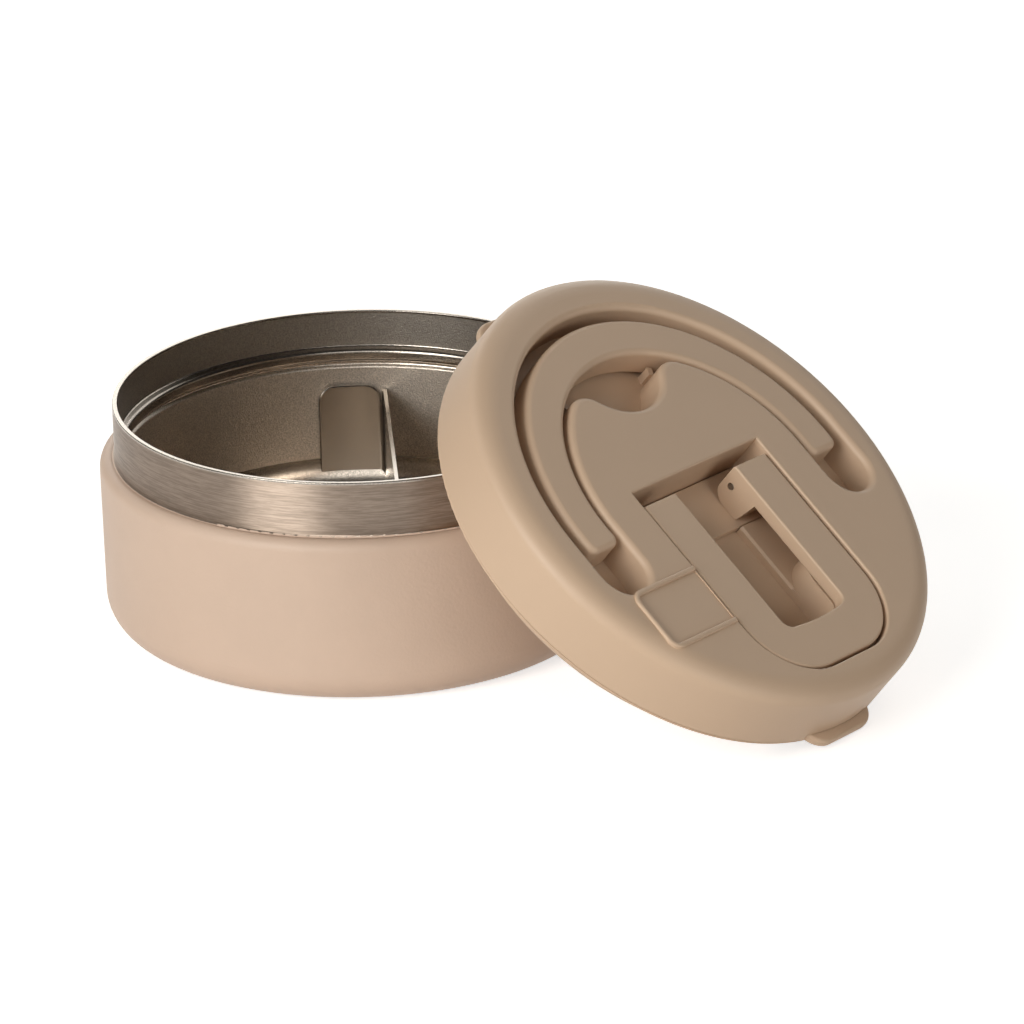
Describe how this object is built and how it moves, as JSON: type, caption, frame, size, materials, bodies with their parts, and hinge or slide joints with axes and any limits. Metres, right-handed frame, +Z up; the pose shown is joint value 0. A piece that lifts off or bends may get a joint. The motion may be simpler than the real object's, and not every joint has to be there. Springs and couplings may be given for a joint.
{
  "type": "insulated food jar",
  "caption": "Squat double-walled steel food jar with a divider; its thick plug lid, with a sunk carry handle and a cam lever that locks the plug, leans against the rim.",
  "frame": {"origin": "centre of the bounding box in plan, on the table that the jar stands on", "axes": "+Z up, along the jar's axis, which stands at x = -47.8 mm, y = 0.9 mm; the lid leans on the rim on the +X side with its top face towards +X and up"},
  "size_m": [0.2356, 0.1416, 0.1017],
  "materials": {
    "coated_steel": "beige powder coat with a fine texture; the neck above the ledge is bare brushed steel",
    "satin_steel": "satin inside, polished bead and rim",
    "brushed_sheet": "brushed sheet with bright edges",
    "bright_steel": "plain turned steel",
    "solder": "dull solder",
    "getter_metal": "dull pressed metal",
    "foil": "bright foil",
    "lid_plastic": "matte beige moulding",
    "plug_plastic": "matte beige moulding, a shade lighter",
    "soft_ring": "matte beige elastomer",
    "seal_rubber": "translucent silicone",
    "foam": "fine closed foam"
  },
  "bodies": {
    "jar": {"outer_shell": "coated_steel", "inner_liner": "satin_steel", "base_disc": "bright_steel", "vacuum_seal": "solder", "getter": "getter_metal", "getter_clip": "bright_steel", "reflective_foil": "foil"},
    "divider": {"divider": "brushed_sheet"},
    "lid": {"lid_cover": "lid_plastic", "skirt_ring": "soft_ring", "plug_sleeve": "plug_plastic", "lid_insulation": "foam", "plug_seal": "seal_rubber", "plug_cap": "plug_plastic", "cap_screws": "bright_steel", "lever_pin_left": "bright_steel", "lever_pin_right": "bright_steel"},
    "press": {"press_bridge": "lid_plastic", "press_plate": "plug_plastic"},
    "handle": {"carry_handle": "lid_plastic"},
    "lever": {"press_lever": "lid_plastic"}
  },
  "joints": [
    {"name": "lid_lift", "type": "slide", "parent": "jar", "child": "lid", "axis": [0, 0, 1], "range_m": [0, 0.12]},
    {"name": "divider_lift", "type": "slide", "parent": "jar", "child": "divider", "axis": [0, 0, 1], "range_m": [0, 0.06]},
    {"name": "handle_hinge", "type": "hinge", "parent": "lid", "child": "handle", "pos_m": [0.06394, -0.00145, 0.05609], "axis": [0.0539, 0.9976, -0.0429], "range_deg": [0, 90]},
    {"name": "lever_hinge", "type": "hinge", "parent": "lid", "child": "lever", "pos_m": [0.06327, -0.00147, 0.05495], "axis": [-0.0539, -0.9976, 0.0429], "range_deg": [0, 70]},
    {"name": "press_slide", "type": "slide", "parent": "lid", "child": "press", "axis": [0.6225, 0, 0.7826], "range_m": [0, 0.0025]}
  ],
  "couplings": [
    {"joint": "press_slide", "follows": "lever_hinge", "m_per_rad": 0.0020463}
  ]
}
